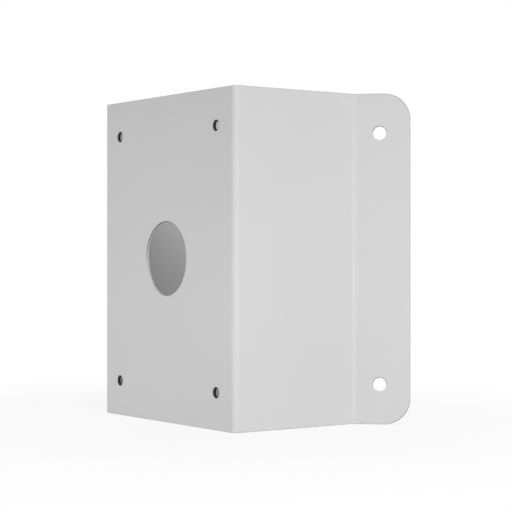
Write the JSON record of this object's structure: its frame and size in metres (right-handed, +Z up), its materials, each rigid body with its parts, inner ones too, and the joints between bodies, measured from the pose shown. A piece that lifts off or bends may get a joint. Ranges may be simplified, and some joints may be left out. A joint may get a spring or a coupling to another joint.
{
  "type": "camera corner mount bracket",
  "caption": "Folded sheet bracket that carries a camera off an outside wall corner, with a flat front plate, a cable hole and two flared wall flanges.",
  "frame": {"origin": "centre of the cable hole, on the outer face of the front plate", "axes": "+Z up along the folds, -Y straight out of the front plate towards the camera, +Y back to the walls, and +X to the right of someone who faces the front plate"},
  "size_m": [0.1958, 0.1133, 0.2],
  "materials": {
    "powder_coat": "satin pale grey powder coat with a fine texture"
  },
  "bodies": {
    "root": {"corner_bracket": "powder_coat"}
  },
  "joints": []
}
